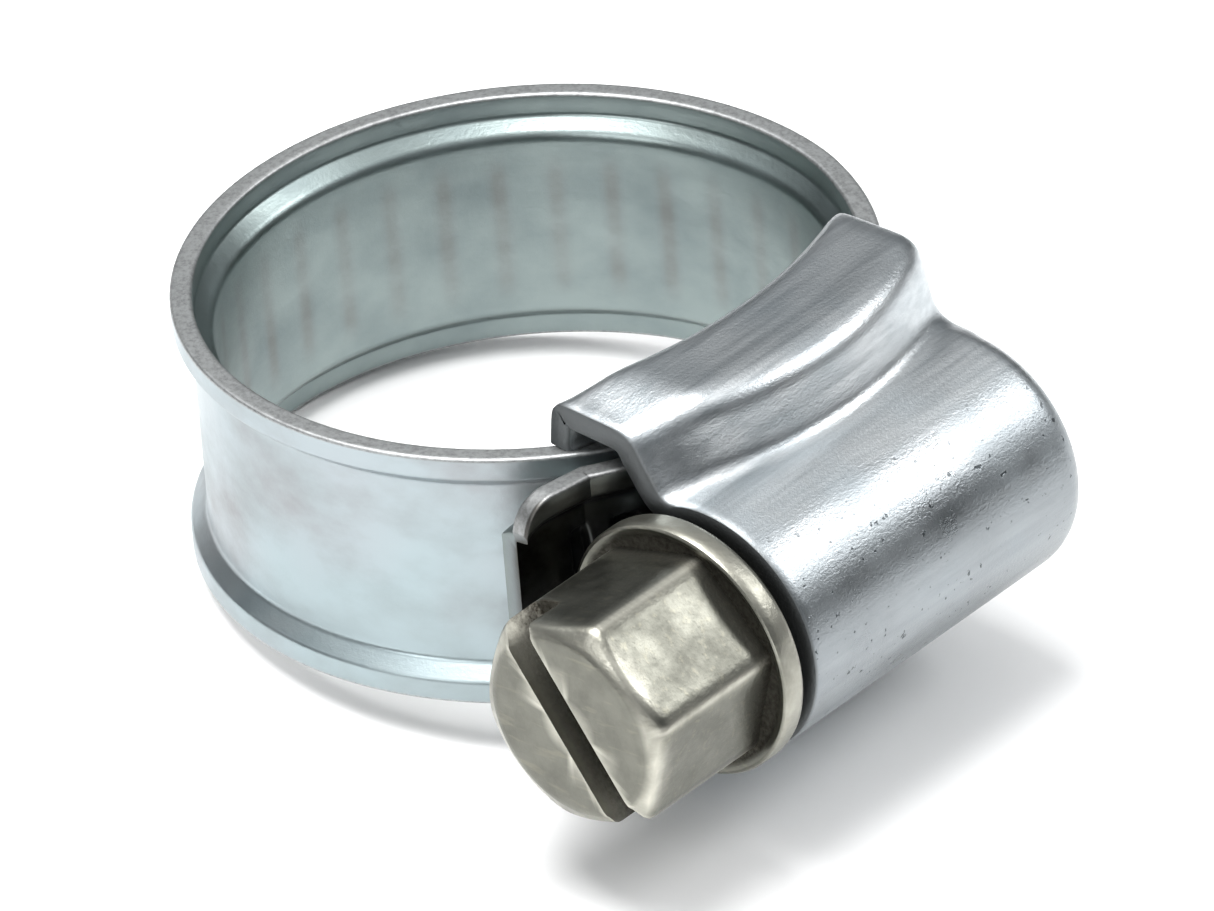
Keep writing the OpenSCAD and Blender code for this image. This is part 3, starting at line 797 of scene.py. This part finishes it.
class HOSECLAMP_OT_screw(bpy.types.Operator):
    """Build the worm screw with its slotted hexagon head"""
    bl_idname = "hose_clamp.screw"
    bl_label = "Worm screw"

    def execute(self, context):
        settings = context.scene.hose_clamp_screw
        material = dull_plate(settings)
        head = self.head(settings, material)
        body = self.turned("worm_screw_flange_and_core", settings, material)
        thread = self.thread("worm_screw_thread", material)
        for piece in (head, body, thread):
            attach(piece, "screw")
            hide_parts("worm_screw")
        return {"FINISHED"}

    def head(self, settings, material):
        """Hexagon head: a turned outline cut by the hexagon, with the slot milled across it."""
        apothem = settings.across_flats / MM / 2
        height = settings.head_height / MM
        x0 = HEAD_FACE
        chamfer = apothem - 0.26
        corner_round = 0.24
        undercut = 0.38
        turns = 30 * 6
        rows = []
        for i in range(turns):
            a = 2 * math.pi * i / turns
            local = (a - settings.hex_angle) % (math.pi / 3) - math.pi / 6
            sharp = apothem / math.cos(local)
            limit = apothem / math.cos(math.pi / 6) - corner_round
            past = max(0.0, sharp - limit)
            radius = sharp - past ** 2 / (4 * corner_round) - past * 0.30
            drop = max(radius - chamfer, 0.0) * math.tan(math.radians(36))
            outline = [(0.0, 0.0), (0.0, 0.35 * chamfer), (0.0, 0.7 * chamfer), (0.0, chamfer - 0.25),
                       (0.03, chamfer - 0.07), (0.08 + 0.15 * drop, chamfer + 0.15 * (radius - chamfer))]
            outline += [(0.06 + drop * 0.62, chamfer + (radius - chamfer) * 0.72),
                        (0.10 + drop * 0.92, chamfer + (radius - chamfer) * 0.95),
                        (0.24 + drop, radius)]
            outline += [(x, radius) for x in np.linspace(0.5 + drop, height + undercut, 13)]
            outline += [(height + undercut, 0.0)]
            rows.append([(x0 + x, SCREW_Y + r * math.cos(a), r * math.sin(a)) for x, r in outline])
        columns = len(rows[0])
        points = np.array(rows).reshape(-1, 3)
        faces = grid_faces(turns, columns, flip=True)
        faces += [[(turns - 1) * columns + j + 1, (turns - 1) * columns + j, j, j + 1][::-1]
                  for j in range(columns - 1)]
        head = new_piece("worm_screw_head", points, faces, material)
        cleaned = head.modifiers.new("weld", "WELD")
        cleaned.merge_threshold = 0.001 * MM
        cutter = self.slot_cutter(settings, x0)
        cut = head.modifiers.new("slot", "BOOLEAN")
        cut.operation = "DIFFERENCE"
        cut.solver = "EXACT"
        cut.object = cutter
        rounding = head.modifiers.new("rubbed_edges", "BEVEL")
        rounding.limit_method = "ANGLE"
        rounding.angle_limit = math.radians(50)
        rounding.width = 0.09 * MM
        rounding.segments = 3
        self.apply(head)
        bpy.data.objects.remove(cutter)
        self.mark_wear(head, settings, x0)
        return head

    def apply(self, piece):
        """Replaces a piece's mesh by its modified one."""
        graph = bpy.context.evaluated_depsgraph_get()
        mesh = bpy.data.meshes.new_from_object(piece.evaluated_get(graph), depsgraph=graph)
        piece.modifiers.clear()
        piece.data = mesh
        crease_by_angle(mesh)

    def slot_cutter(self, settings, x0):
        """A bar with a slightly rounded floor that mills the slot."""
        half = settings.slot_width / MM / 2
        depth = settings.slot_depth / MM
        reach = 6.0
        outline = [(-1.0, -half), (depth - 0.12, -half), (depth, -half + 0.12),
                   (depth, half - 0.12), (depth - 0.12, half), (-1.0, half)]
        points = []
        for end in (-reach, reach):
            for x, w in outline:
                angle = settings.slot_angle
                y = end * math.cos(angle) - w * math.sin(angle)
                z = end * math.sin(angle) + w * math.cos(angle)
                points.append((x0 + x, SCREW_Y + y, z))
        n = len(outline)
        faces = [list(range(n)), list(range(2 * n))[:n - 1:-1]]
        faces += [[j, j + n, (j + 1) % n + n, (j + 1) % n] for j in range(n)]
        cutter = new_piece("slot_cutter", points, faces, bpy.data.materials.new("cutter"))
        mesh = cutter.data
        work = bmesh.new()
        work.from_mesh(mesh)
        bmesh.ops.recalc_face_normals(work, faces=work.faces)
        work.to_mesh(mesh)
        work.free()
        return cutter

    def mark_wear(self, head, settings, x0):
        """Bright rubbed edges along the hexagon and the slot, and dark brown in the slot and at
        the head's foot, partly dirt and partly painted shade.
        """
        mesh = head.data
        count = len(mesh.vertices)
        places = np.empty(count * 3)
        mesh.vertices.foreach_get("co", places)
        places = places.reshape(-1, 3) / MM
        y = places[:, 1] - SCREW_Y
        z = places[:, 2]
        radius = np.hypot(y, z)
        turn = np.arctan2(z, y)
        local = (turn - settings.hex_angle) % (math.pi / 3) - math.pi / 6
        apothem = settings.across_flats / MM / 2
        corner = np.clip((np.abs(local) - math.radians(26.4)) / math.radians(3.0), 0, 1)
        corner *= (radius > apothem)
        rim = np.clip(1 - np.abs(radius - apothem) / 0.35, 0, 1)
        rim *= np.clip((x0 + 0.85 - places[:, 0]) / 0.5, 0, 1)
        angle = settings.slot_angle
        across = np.abs(-y * math.sin(angle) + z * math.cos(angle))
        half = settings.slot_width / MM / 2
        lips = np.clip(1 - np.abs(across - half - 0.05) / 0.14, 0, 1) * (places[:, 0] < x0 + 0.12)
        # Dark brown in the slot and at the head's foot: partly dirt, partly painted shade
        depth = places[:, 0] - x0
        in_slot = (across < half + 0.02) * np.clip((depth - 0.15) / 0.8, 0, 1)
        in_slot *= (depth < settings.slot_depth / MM + 0.05)
        foot = np.clip((depth - settings.head_height / MM + 0.35) / 0.35, 0, 1) * 0.6
        for key, kind, field, values in (
                ("place", "FLOAT_VECTOR", "vector", places),
                ("worn", "FLOAT", "value", np.maximum.reduce([corner, rim, lips])),
                ("dirt", "FLOAT", "value", np.maximum(in_slot, foot))):
            layer = mesh.attributes.get(key) or mesh.attributes.new(key, kind, "POINT")
            layer.data.foreach_set(field, np.asarray(values, dtype=np.float32).ravel())

    def turned(self, name, settings, material):
        """Flange, neck, worm core and end journal as one turned solid."""
        flange = settings.flange_radius / MM
        outline = [(-9.2, 0.0), (-9.2, 3.3), (-9.16, 3.9), (-9.2, flange - 0.42),
                   (-9.31, flange - 0.26), (-9.34, flange - 0.14), (-9.30, flange - 0.05),
                   (-9.2, flange), (-9.0, flange), (-8.62, flange), (-8.48, flange - 0.04),
                   (-8.40, flange - 0.13), (-8.37, flange - 0.28), (-8.37, 2.6)]
        outline += [(-8.33, 2.45), (-8.2, 2.4), (-6.85, 2.4), (-6.8, 2.35), (-6.7, 2.2),
                    (4.9, 2.2), (5.05, 2.15), (5.09, 2.05), (5.09, 1.85), (5.14, 1.8),
                    (6.1, 1.8), (6.22, 1.7), (6.24, 1.6), (6.24, 0.0)]
        turns = 128
        rows = []
        worn = []
        dirt = []
        for i in range(turns):
            a = 2 * math.pi * i / turns
            rows.append([(x, SCREW_Y + r * math.cos(a), r * math.sin(a)) for x, r in outline])
            worn += [0.5 if abs(r - flange) < 0.12 and -9.45 < x < -8.4 else 0.0 for x, r in outline]
            # Dark brown on the flange's face round the head and in the neck behind it: partly dirt,
            # partly painted shade
            dirt += [0.9 if (r < flange - 0.3 and x < -9.1) or (-8.4 < x < -6.7) else 0.0
                     for x, r in outline]
        columns = len(outline)
        points = np.array(rows).reshape(-1, 3)
        faces = grid_faces(turns, columns, flip=True)
        faces += [[(turns - 1) * columns + j + 1, (turns - 1) * columns + j, j, j + 1][::-1]
                  for j in range(columns - 1)]
        piece = new_piece(name, points, faces, material, place=points, worn=worn, dirt=dirt)
        piece.modifiers.new("weld", "WELD").merge_threshold = 0.001 * MM
        self.apply(piece)
        return piece

    def thread(self, name, material):
        """The worm's rolled ridge, a soft-crested helix that grows from the core at both ends."""
        pitch = WORM_PITCH
        before, after = 2.5, 3.0
        steps = 64
        total = int((before + after) * steps)
        mesh_x = TAIL_MID[0]
        points, worn = [], []
        ridge = [(-0.50, 2.12), (-0.42, 2.26), (-0.30, 2.66), (-0.22, 2.80), (-0.08, 2.85),
                 (0.08, 2.85), (0.22, 2.80), (0.30, 2.66), (0.42, 2.26), (0.50, 2.12), (0.0, 2.05)]
        for i in range(total + 1):
            turn = 2 * math.pi * (i / steps - before)
            grown = min(1.0, i / (0.25 * steps), (total - i) / (0.25 * steps))
            for dx, r in ridge:
                height = 2.12 + (r - 2.12) * grown
                points.append((mesh_x + turn / (2 * math.pi) * pitch + dx,
                               SCREW_Y + height * math.cos(turn), height * math.sin(turn)))
                worn.append(0.9 if r > 2.75 else 0.0)
        n = len(ridge)
        points = np.array(points)
        faces = grid_faces(total + 1, n, wrap=True)
        faces.append(list(range(n))[::-1])
        faces.append([total * n + j for j in range(n)])
        # The whole worm gets a light share of the dark brown used for dirt and painted shade
        return new_piece(name, points, faces, material, place=points, worn=worn,
                         dirt=np.full(len(points), 0.3))


class HOSECLAMP_OT_stage(bpy.types.Operator):
    """Set the floor, the lights and the camera"""
    bl_idname = "hose_clamp.stage"
    bl_label = "Stage"

    def execute(self, context):
        settings = context.scene.hose_clamp_stage
        scene = context.scene
        up = Vector((0.0, -math.sin(FLOOR_TILT), math.cos(FLOOR_TILT)))
        rest_on = Vector((0.0, -11.6 * MM, -7.02 * MM))
        material = matt_board(settings)
        mesh = bpy.data.meshes.new("floor")
        size = 1.6
        corners = [(-size, -size, 0), (size, -size, 0), (size, size, 0), (-size, size, 0)]
        mesh.from_pydata(corners, [], [(0, 1, 2, 3)])
        mesh.materials.append(material)
        floor = bpy.data.objects.new("floor", mesh)
        tilt = up.to_track_quat("Z", "Y").to_matrix().to_4x4()
        floor.matrix_world = Matrix.Translation(rest_on) @ tilt
        scene.collection.objects.link(floor)

        world = bpy.data.worlds.new("soft_daylight")
        scene.world = world
        world.use_nodes = True
        tree = world.node_tree
        direction = add_node(tree, "ShaderNodeTexCoord", output="Generated")
        height = add_node(tree, SPLIT, {"Vector": direction}, output="Z")
        # A dark horizon under a bright ceiling gives the bare metal its contrast
        sky = add_node(tree, RAMP, {"Fac": height}, stops=[
            (0.0, linear("#3A3D3F")), (0.30, linear("#45484B")),
            (0.58, linear("#A9ADB0")), (0.86, linear("#FFFFFF"))])
        background = tree.nodes["Background"]
        tree.links.new(sky, background.inputs["Color"])
        background.inputs["Strength"].default_value = settings.daylight
        scene.view_settings.view_transform = "Standard"

        self.softbox("key_overhead", (-0.06, 0.02, 0.36), (0.20, 0.20), 1.5 * settings.key_power)
        self.softbox("side_front_right", (0.25, -0.22, 0.24), (0.10, 0.16), 0.55 * settings.key_power)
        self.softbox("side_front_left", (-0.34, -0.02, 0.20), (0.16, 0.12), 0.30 * settings.key_power)
        self.camera(scene)
        return {"FINISHED"}

    def softbox(self, name, place, size, power):
        """A rectangular soft light aimed at the clamp."""
        light = bpy.data.lights.new(name, "AREA")
        light.shape = "RECTANGLE"
        light.size, light.size_y = size
        light.energy = power
        box = bpy.data.objects.new(name, light)
        box.location = place
        box.rotation_mode = "QUATERNION"
        box.rotation_quaternion = (-Vector(place)).to_track_quat("-Z", "Y")
        bpy.context.scene.collection.objects.link(box)

    def camera(self, scene):
        """Long lens from the head's side, a third of the way up, with a slight roll."""
        lens = bpy.data.cameras.new("camera")
        lens.lens = 477.0
        lens.sensor_width = 36.0
        lens.clip_start = 0.01
        eye = bpy.data.objects.new("camera", lens)
        right = Vector((0.6514, -0.7555, -0.0702))
        up = Vector((0.4426, 0.3031, 0.8440))
        back = right.cross(up).normalized()
        up = back.cross(right).normalized()
        turn = Matrix((right, up, back)).transposed().to_4x4()
        eye.matrix_world = Matrix.Translation((-0.32535, -0.30950, 0.27918)) @ turn
        scene.collection.objects.link(eye)
        scene.camera = eye


class HOSECLAMP_PT_panel(bpy.types.Panel):
    """Buttons that build the clamp"""
    bl_idname = "HOSECLAMP_PT_panel"
    bl_label = "Hose clamp"
    bl_space_type = "VIEW_3D"
    bl_region_type = "UI"
    bl_category = "Hose clamp"

    def draw(self, context):
        for operator in OPERATORS:
            self.layout.operator(operator.bl_idname)


SETTINGS = {
    "hose_clamp_housing": HousingSettings,
    "hose_clamp_band": BandSettings,
    "hose_clamp_screw": ScrewSettings,
    "hose_clamp_stage": StageSettings,
}
OPERATORS = (HOSECLAMP_OT_housing, HOSECLAMP_OT_band, HOSECLAMP_OT_screw, HOSECLAMP_OT_stage)


def register():
    for cls in (*SETTINGS.values(), *OPERATORS, HOSECLAMP_PT_panel):
        bpy.utils.register_class(cls)
    for name, cls in SETTINGS.items():
        setattr(bpy.types.Scene, name, bpy.props.PointerProperty(type=cls))


def unregister():
    for name in SETTINGS:
        delattr(bpy.types.Scene, name)
    for cls in (HOSECLAMP_PT_panel, *OPERATORS[::-1], *list(SETTINGS.values())[::-1]):
        bpy.utils.unregister_class(cls)


def main():
    register()
    bpy.ops.hose_clamp.stage()
    bpy.ops.hose_clamp.housing()
    bpy.ops.hose_clamp.band()
    bpy.ops.hose_clamp.screw()


if __name__ == "__main__":
    main()
